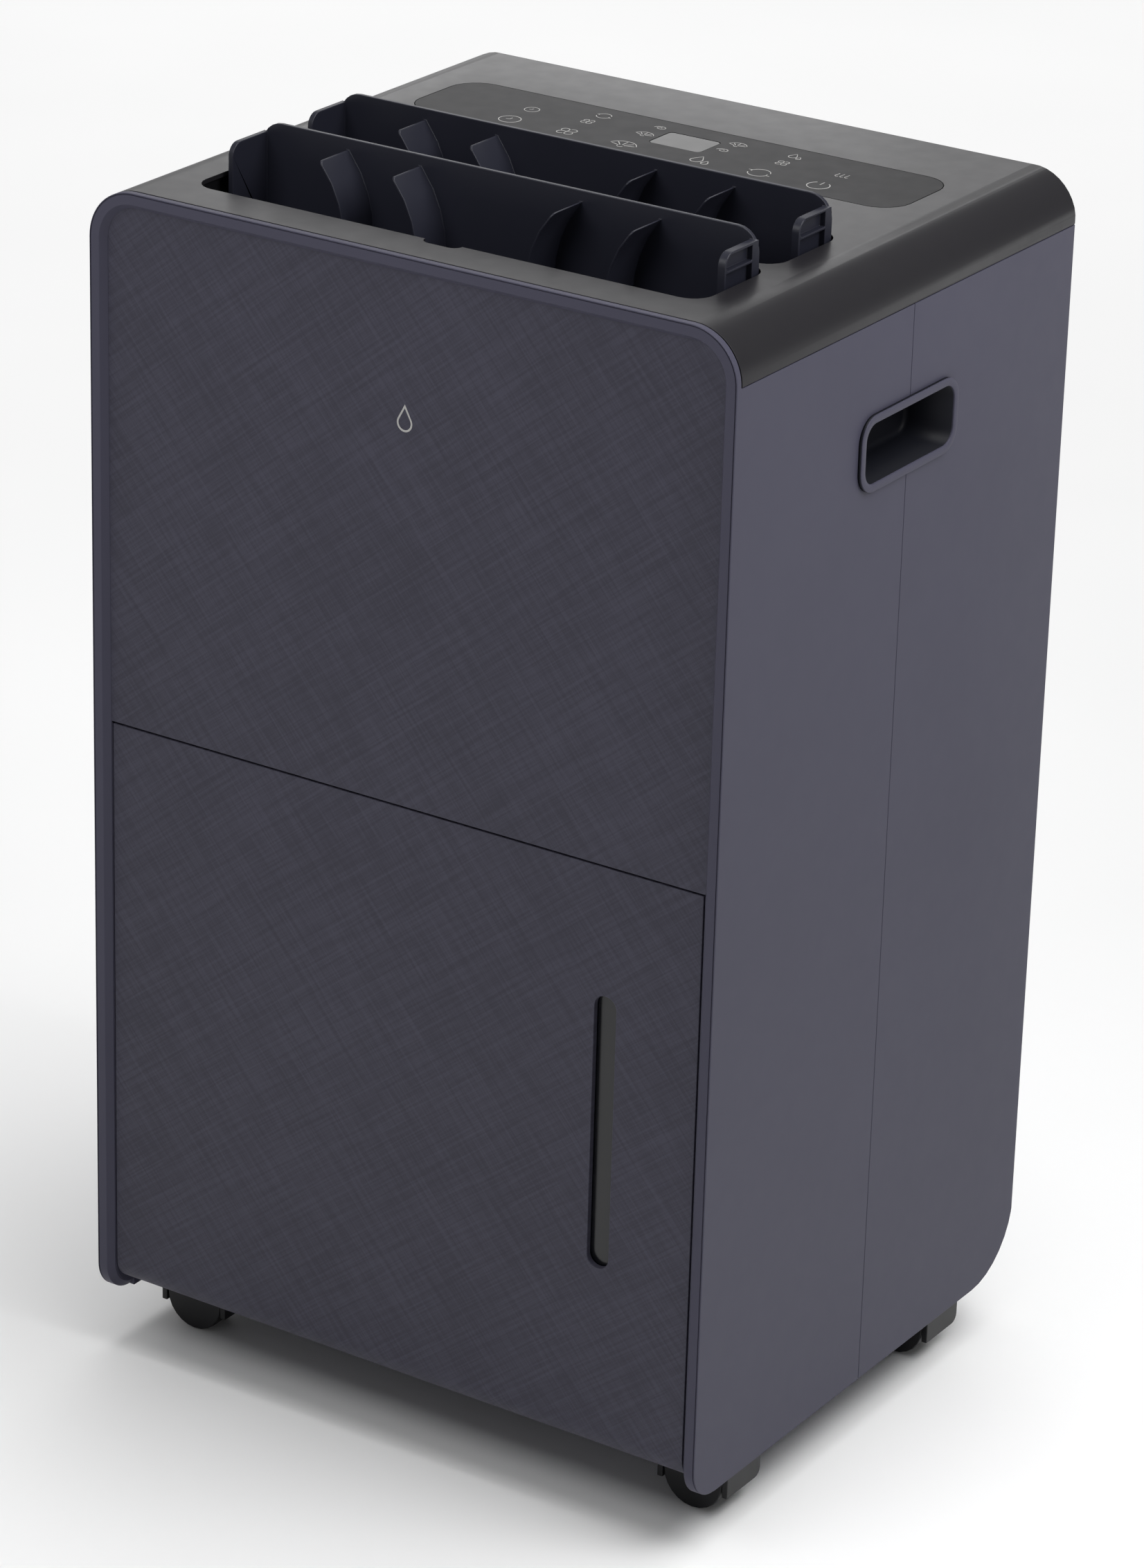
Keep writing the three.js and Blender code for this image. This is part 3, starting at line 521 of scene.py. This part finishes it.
def rim_frames():
    """Sections of the rim's left half, from under its foot to the end of the top corner.

    Each is (place, direction inwards, direction backwards, width, depth of its back edge).
    """
    side_back = CASING_FRONT - FRONT
    top_back = side_back - 1.0
    foot_z = BOTTOM + FOOT_R
    inward = Vector((1, 0, 0))
    backward = Vector((0, 1, 0))
    frames = []
    for k in range(FOOT_STEPS, 0, -1):
        a = math.pi / 2 * k / FOOT_STEPS
        spot = Vector((-HALF, FRONT + FOOT_R - FOOT_R * math.cos(a), foot_z - FOOT_R * math.sin(a)))
        frames.append((spot, inward, Vector((0, math.cos(a), math.sin(a))), LEG_WIDTH, side_back))
    for z, width, back in (
            (foot_z, LEG_WIDTH, side_back), (BUCKET_SEAM - 0.7, LEG_WIDTH, side_back),
            (BUCKET_SEAM + 0.5, RIM_WIDTH, side_back), (COVER_SEAM, RIM_WIDTH, side_back),
            (COVER_SEAM + 0.3, RIM_WIDTH, top_back)):
        frames.append((Vector((-HALF, FRONT, z)), inward, backward, width, back))
    centre = Vector((-HALF + TOP_R, FRONT, TOP - TOP_R))
    for k in range(CORNER_STEPS + 1):
        a = math.pi - math.pi / 2 * k / CORNER_STEPS
        out = Vector((math.cos(a), 0, math.sin(a)))
        frames.append((centre + out * TOP_R, -out, backward, RIM_WIDTH, top_back))
    return frames


def add_rim():
    frames = rim_frames()
    mirrored = [(Vector((-spot.x, spot.y, spot.z)), Vector((-inward.x, inward.y, inward.z)), *rest)
                for spot, inward, *rest in reversed(frames)]
    bm = bmesh.new()
    rings = []
    for spot, inward, deep, width, back in frames + mirrored:
        rings.append([(spot + inward * d + deep * e) * MM for d, e in rim_section(width, back)])
    loft(bm, rings)
    piece = add_piece("front_rim", bm, "cabinet", LOOKS["casing"], "casing", ["front_bezel"])
    weighted = piece.modifiers.new("flats", "WEIGHTED_NORMAL")
    weighted.keep_sharp = True
    weighted.weight = 90
    mark_sharp(piece, 40)


def mark_sharp(obj, angle):
    """Mark the edges that turn by more than an angle as sharp."""
    bm = bmesh.new()
    bm.from_mesh(obj.data)
    limit = math.radians(angle)
    for edge in bm.edges:
        if len(edge.link_faces) == 2 and edge.calc_face_angle() > limit:
            edge.smooth = False
    bm.to_mesh(obj.data)
    bm.free()


add_rim()

# ---- front panel and the bucket's front ----
refined("front_panel", 0.2)


def add_bucket_front():
    low, high = box_mm("bucket_front")
    half = high.x - 0.4
    top = high.z - 0.5
    roll = 14
    thick = 3.5
    section = rounded([
        (low.y, top, 0.5), (low.y, low.z, roll), (low.y + 22, low.z), (low.y + 22, low.z + thick),
        (low.y + thick, low.z + thick, roll - thick), (low.y + thick, top - 3), (low.y + 11, top - 3),
        (low.y + 11, top),
    ], 10)
    bm = bmesh.new()
    prism(bm, "x", section, -half, half)
    piece = add_piece("bucket_front_fine", bm, "bucket", LOOKS["textured"], "textured", ["bucket_front"])
    window_low, window_high = box_mm("level_window")
    lip = 1.5
    slot_r = 6.45
    slot = slab(window_low.x + lip, window_high.x - lip,
                window_low.z + lip, window_high.z - lip, slot_r, 10)
    carved(piece, prism(bmesh.new(), "y", slot, low.y - 5, low.y + 12))
    softened(piece, 0.4, 40)


add_bucket_front()

# ---- casings and top cover ----
SIDE_SEAM = (box_mm("front_casing")[1].y + box_mm("rear_casing")[0].y) / 2
SIDE_SEAM_OPEN = 0.12
COVER_SEAM_OPEN = 0.15


def seam_gap(co):
    """Open the upright seam between the casings, and the level one under the cover."""
    if abs(co.y / MM - SIDE_SEAM) < 0.5:
        co.y += math.copysign(SIDE_SEAM_OPEN * MM, co.y / MM - SIDE_SEAM)
    if abs(co.z / MM - COVER_SEAM) < 0.05:
        co.z -= COVER_SEAM_OPEN * MM
    return co


refined("rear_casing", 0.3, 40, seam_gap)
refined("top_cover", 0.25, 60)


def add_front_casing():
    """The front casing, with the rolled front of its legs taken off where the rim wraps under them."""
    depth = CASING_FRONT - FRONT
    heel = FRONT + FOOT_R
    ankle = BOTTOM + FOOT_R
    inner_r = FOOT_R - depth
    corner = [(heel - inner_r * math.cos(a), ankle - inner_r * math.sin(a))
              for a in (math.pi / 2 * k / FOOT_STEPS for k in range(FOOT_STEPS + 1))]
    outline = [(CASING_FRONT - 2, ankle)] + corner + [(heel, BOTTOM - 2), (CASING_FRONT - 2, BOTTOM - 2)]
    piece = refined("front_casing", 0, 40, seam_gap)
    carved(piece, prism(bmesh.new(), "x", outline, -HALF - 1, HALF + 1))
    mark_sharp(piece, 40)


add_front_casing()


# ---- hand pockets: a raised ring in the casing's colour around a near-black cup whose colour is painted shade ----
POCKET_R = 13.0
RING_WIDTH = 4.3
RING_BACK = 3.0
RING_FLANGE = 0.7
CUP_DEPTH = 26.5
CUP_BEND = 3.0


def pocket_outline(node, side):
    """A function for the pocket's outline, moved in by inset mm and placed x mm from the middle."""
    low, high = box_mm(node)

    def outline(inset, x):
        points = slab(low.y + inset, high.y - inset, low.z + inset, high.z - inset, POCKET_R - inset)
        return [Vector((side * x, u, v)) * MM for u, v in points]

    return outline


def add_pocket_ring(node, outline, face):
    """The raised ring, from its outer foot over its flat face and back along its inner wall."""
    section = [
        (0.0, RING_FLANGE), (0.0, 0.3), (0.12, 0.1), (0.4, 0.0), (RING_WIDTH - 0.4, 0.0),
        (RING_WIDTH - 0.15, 0.15), (RING_WIDTH, 0.5), (RING_WIDTH, RING_BACK),
    ]
    bm = bmesh.new()
    loft(bm, [outline(inset, face - behind) for inset, behind in section], closed_ends=False)
    loft(bm, [outline(RING_WIDTH, face - RING_BACK), outline(0.0, face - RING_FLANGE)], closed_ends=False)
    bmesh.ops.remove_doubles(bm, verts=bm.verts, dist=0.001 * MM)
    add_piece(node + "_ring", bm, "cabinet", LOOKS["casing"], "casing", [node])


def add_pocket_cup(node, outline, face):
    """The cup: a lined wall and floor in near black as painted shade, a skin behind them, and a flange
    under the ring.
    """
    floor_x = HALF - CUP_DEPTH
    wall = RING_WIDTH + 0.1
    inside = [(wall, face - 1.0), (wall, floor_x + CUP_BEND)]
    inside += [(wall + CUP_BEND * (1 - math.cos(a)), floor_x + CUP_BEND * (1 - math.sin(a)))
               for a in (math.radians(22.5 * k) for k in range(1, 5))]
    outside = [(2.6, floor_x - 1.6), (2.6, HALF - 0.2), (0.05, HALF + 0.05), (0.05, face - 0.75)]
    bm = bmesh.new()
    inner = loft(bm, [outline(inset, x) for inset, x in inside], closed_ends=False)
    outer = loft(bm, [outline(inset, x) for inset, x in outside], closed_ends=False)
    bm.faces.new(inner[-1])
    bm.faces.new(outer[0])
    count = len(inner[0])
    for i in range(count):
        j = (i + 1) % count
        bm.faces.new((inner[0][i], inner[0][j], outer[-1][j], outer[-1][i]))
    # The cup takes the pocket material, whose near black is painted shade.
    add_piece(node + "_cup", bm, "cabinet", LOOKS["pocket"], "black")


def add_pocket(node, side):
    low, high = box_mm(node)
    face = max(abs(low.x), abs(high.x))
    outline = pocket_outline(node, side)
    add_pocket_ring(node, outline, face)
    add_pocket_cup(node, outline, face)


add_pocket("hand_pocket_left", -1)
add_pocket("hand_pocket_right", 1)

# ---- controls ----
refined("control_film", 0.15)
refined("display_window", 0.2)


def ribbon(bm, points, width, low, high, closed=False):
    """A flat stroke of even width along points in mm, between two heights."""
    points = [Vector(p) for p in points]
    count = len(points)
    left, right = [], []
    for i, point in enumerate(points):
        before = points[i - 1] if (i or closed) else None
        after = points[(i + 1) % count] if (i < count - 1 or closed) else None
        along = Vector((0, 0))
        if before is not None:
            along += (point - before).normalized()
        if after is not None:
            along += (after - point).normalized()
        along.normalize()
        across = Vector((-along.y, along.x)) * (width / 2)
        left.append(point + across)
        right.append(point - across)
    rings = []
    for a, b in zip(left, right):
        rings.append([Vector((a.x, a.y, low)) * MM, Vector((b.x, b.y, low)) * MM,
                      Vector((b.x, b.y, high)) * MM, Vector((a.x, a.y, high)) * MM])
    if closed:
        rings.append(rings[0])
    loft(bm, rings, closed_ends=not closed)
    if closed:
        bmesh.ops.remove_doubles(bm, verts=bm.verts, dist=0.001 * MM)


def arc(x, y, radius, start, end, steps):
    turns = [math.radians(start + (end - start) * k / steps) for k in range(steps + 1)]
    return [(x + radius * math.cos(a), y + radius * math.sin(a)) for a in turns]


def droplet(x, y, size, steps=18):
    """Outline of a drop with its point up: a point, and a round belly of 236 degrees."""
    belly_r = 0.62 * size
    belly_y = y - 0.3 * size
    points = [(x, y + size)]
    for k in range(steps + 1):
        a = math.radians(28 - 236 * k / steps)
        points.append((x + belly_r * math.cos(a), belly_y + belly_r * math.sin(a)))
    return points


def clock_mark(stroke, x, y, r):
    stroke(arc(x, y, r, 0, 360, 28)[:-1], True)
    stroke([(x, y + r * 0.45), (x, y), (x - r * 0.35, y - r * 0.1)])


def fan_mark(stroke, x, y, r):
    for turn in (45, 135, 225, 315):
        a = math.radians(turn)
        cx, cy = x + 0.55 * r * math.cos(a), y + 0.55 * r * math.sin(a)
        stroke([(x, y)] + arc(cx, cy, 0.38 * r, turn - 120, turn + 100, 10))


def swing_mark(stroke, x, y, r):
    root = y - 0.7 * r
    near, far = 0.3 * r, 1.25 * r
    for turn in (20, 50, 90, 130, 160):
        a = math.radians(turn)
        stroke([(x + near * math.cos(a), root + near * math.sin(a)),
                (x + far * math.cos(a), root + far * math.sin(a))])
    stroke(arc(x, root, 1.4 * r, 20, 160, 16))
    stroke(arc(x, root, near, 200, 340, 8))


def drops_mark(stroke, x, y, r):
    stroke(droplet(x - 0.3 * r, y + 0.1 * r, r * 0.9), True)
    stroke(droplet(x + 0.75 * r, y - 0.45 * r, r * 0.5), True)


def cycle_mark(stroke, x, y, r):
    for turn in (0, 180):
        stroke(arc(x, y, r, turn + 15, turn + 155, 14))
        a = math.radians(turn + 155)
        tip = Vector((x + r * math.cos(a), y + r * math.sin(a)))
        for lean in (30, 120):
            b = a + math.radians(lean)
            stroke([tip, tip + Vector((math.cos(b), math.sin(b))) * r * 0.35])


def power_mark(stroke, x, y, r):
    stroke(arc(x, y, r, 125, 415, 24))
    stroke([(x, y + r * 1.05), (x, y + r * 0.25)])


def waves_mark(stroke, x, y, r):
    for shift in (-0.7, 0, 0.7):
        stroke([(x + shift * r, y + 0.7 * r), (x + (shift - 0.1) * r, y - 0.4 * r),
                (x + (shift + 0.15) * r, y - 0.65 * r), (x + (shift + 0.35) * r, y - 0.4 * r)])


def coil_mark(stroke, x, y, r):
    points = []
    for k in range(21):
        reach = r * (0.15 + 0.8 * k / 20)
        a = math.radians(27 * k)
        points.append((x + reach * math.cos(a), y + 0.75 * reach * math.sin(a)))
    stroke(points)


INK = 0.1
INK_SUNK = 0.05
# Each row: distance behind the film's front edge, mark radius, line width, and the marks by their x.
MARK_ROWS = [
    (14.5, 6.0, 0.5, {-91: clock_mark, -55: fan_mark, -19: swing_mark,
                      27.5: drops_mark, 63: cycle_mark, 98.4: power_mark}),
    (36.4, 4.1, 0.42, {-91.7: clock_mark, -56.4: fan_mark, -20.3: swing_mark,
                       27.3: coil_mark, 63.5: fan_mark, 99.3: waves_mark}),
    (50.2, 4.1, 0.42, {-55.2: cycle_mark, -19.8: coil_mark, 28.5: swing_mark, 63: drops_mark}),
]


def add_control_marks():
    low, high = box_mm("control_film")
    bottom = high.z - INK_SUNK
    bm = bmesh.new()
    for y, size, width, marks in MARK_ROWS:
        def stroke(points, closed=False):
            ribbon(bm, points, width, bottom, bottom + INK, closed)

        for x, draw in marks.items():
            draw(stroke, x, low.y + y, size)
    add_piece("control_marks", bm, "cabinet", LOOKS["mark"], "display")


add_control_marks()


FRONT_MARK_Z = 581


def add_front_mark():
    """A plain outlined droplet on the front panel."""
    bm = bmesh.new()
    face = PANEL_Y - 0.08
    root = PANEL_Y + 0.05
    outline = droplet(0, FRONT_MARK_Z, 7.5, 24)
    inner = droplet(0, FRONT_MARK_Z - 0.4, 5.9, 24)
    count = len(outline)
    rings = []
    for points, y in ((outline, root), (outline, face), (inner, face), (inner, root)):
        rings.append([Vector((u, y, v)) * MM for u, v in points])
    skins = loft(bm, rings, closed_ends=False)
    for i in range(count):
        j = (i + 1) % count
        bm.faces.new((skins[3][i], skins[3][j], skins[0][j], skins[0][i]))
    add_piece("front_mark", bm, "cabinet", LOOKS["mark"], "display")


add_front_mark()

# ---- louvres ----
for louvre in ("front_louvre", "rear_louvre"):
    refined(louvre, 0.45, 35)

# ---- castors ----
for corner in ("front_left", "front_right", "rear_left", "rear_right"):
    refined("castor_hood_" + corner, 0.5)
    refined("castor_wheel_" + corner, 0.8, 50)

# ---- pieces whose CAD solid only needs softer edges ----
for plain in ("outlet_duct", "louvre_link", "level_window", "bucket", "bucket_lid", "bucket_handle",
              "intake_grille", "air_filter", "drain_cap", "drain_spout", "power_gland"):
    refined(plain, 0.3, 40)

# ---- the remaining CAD nodes keep their solids and take their material ----
for name, node in NODES.items():
    node.data.materials.clear()
    node.data.materials.append(LOOKS[SLOT_OF[name]])


# ---- screws on the back ----
SCREW_R = 3.6
SCREW_IN = 14
SLOT_HALF, SLOT_THICK = 2.2, 0.8


def add_screws():
    low, high = box_mm("rear_casing")
    back = high.y
    spots = [(x, z) for x in (low.x + SCREW_IN, high.x - SCREW_IN)
             for z in (low.z + 70, 375, high.z - 20)]
    bm = bmesh.new()
    slots = bmesh.new()
    for x, z in spots:
        round_bar(bm, "y", x, z, SCREW_R, back - 1.5, back - 0.05, 20, 0.5)
        block(slots, x - SLOT_HALF, x + SLOT_HALF, back - 0.9, back + 1,
              z - SLOT_THICK / 2, z + SLOT_THICK / 2)
    screws = add_piece("case_screws", bm, "cabinet", LOOKS["zinc"], "zinc")
    carved(screws, slots)


add_screws()


# ---- floor, background and lights ----
FLOOR_HALF = 14.0
FLOOR_Z = -0.0004
SKY_STRENGTH = 0.25


def add_stage():
    bm = bmesh.new()
    corners = [(-FLOOR_HALF, -FLOOR_HALF), (FLOOR_HALF, -FLOOR_HALF),
               (FLOOR_HALF, FLOOR_HALF), (-FLOOR_HALF, FLOOR_HALF)]
    bm.faces.new([bm.verts.new((x, y, FLOOR_Z)) for x, y in corners])
    mesh = bpy.data.meshes.new("floor")
    bm.to_mesh(mesh)
    bm.free()
    floor = bpy.data.objects.new("floor", mesh)
    bpy.context.scene.collection.objects.link(floor)
    look = Look("floor_paper")
    look.tone(look.noise(3, 2), linear("f3f3f3"), linear("f8f8f8"))
    look.set(Roughness=0.9)
    floor.data.materials.append(look.material)

    world = bpy.data.worlds.new("studio")
    world.use_nodes = True
    sky = world.node_tree.nodes["Background"]
    sky.inputs["Color"].default_value = (1, 1, 1, 1)
    sky.inputs["Strength"].default_value = SKY_STRENGTH
    bpy.context.scene.world = world
    bpy.context.scene.view_settings.view_transform = "Standard"


def add_light(name, place, target, size, power, spread=180):
    """A rectangular lamp in watts that faces a target; spread is its beam in degrees."""
    data = bpy.data.lights.new(name, "AREA")
    data.shape = "RECTANGLE"
    data.size, data.size_y = size
    data.energy = power
    data.spread = math.radians(spread)
    light = bpy.data.objects.new(name, data)
    light.location = place
    aim = Vector(target) - Vector(place)
    light.rotation_euler = aim.to_track_quat("-Z", "Y").to_euler()
    bpy.context.scene.collection.objects.link(light)


def add_overhead(strength, spread):
    """A soft sun from above, tipped a little towards the right side."""
    data = bpy.data.lights.new("overhead", "SUN")
    data.energy = strength
    data.angle = math.radians(spread)
    light = bpy.data.objects.new("overhead", data)
    light.rotation_euler = (math.radians(-6), math.radians(10), 0)
    bpy.context.scene.collection.objects.link(light)


add_stage()
add_overhead(2.0, 50)
add_light("key", (0.85, 0.0, 1.2), (0.195, 0.02, 0.62), (0.5, 0.6), 2.2, 100)
add_light("fill", (-0.2, -0.95, 1.25), (0, -0.16, 0.6), (0.7, 0.5), 1.5, 100)
add_light("back", (-1.9, 2.9, 1.9), (0, 0, 0.6), (2.6, 1.4), 14)
add_light("card", (-0.66, 0.98, 0.83), (-0.06, 0.14, 0.665), (0.5, 0.22), 0.13, 110)
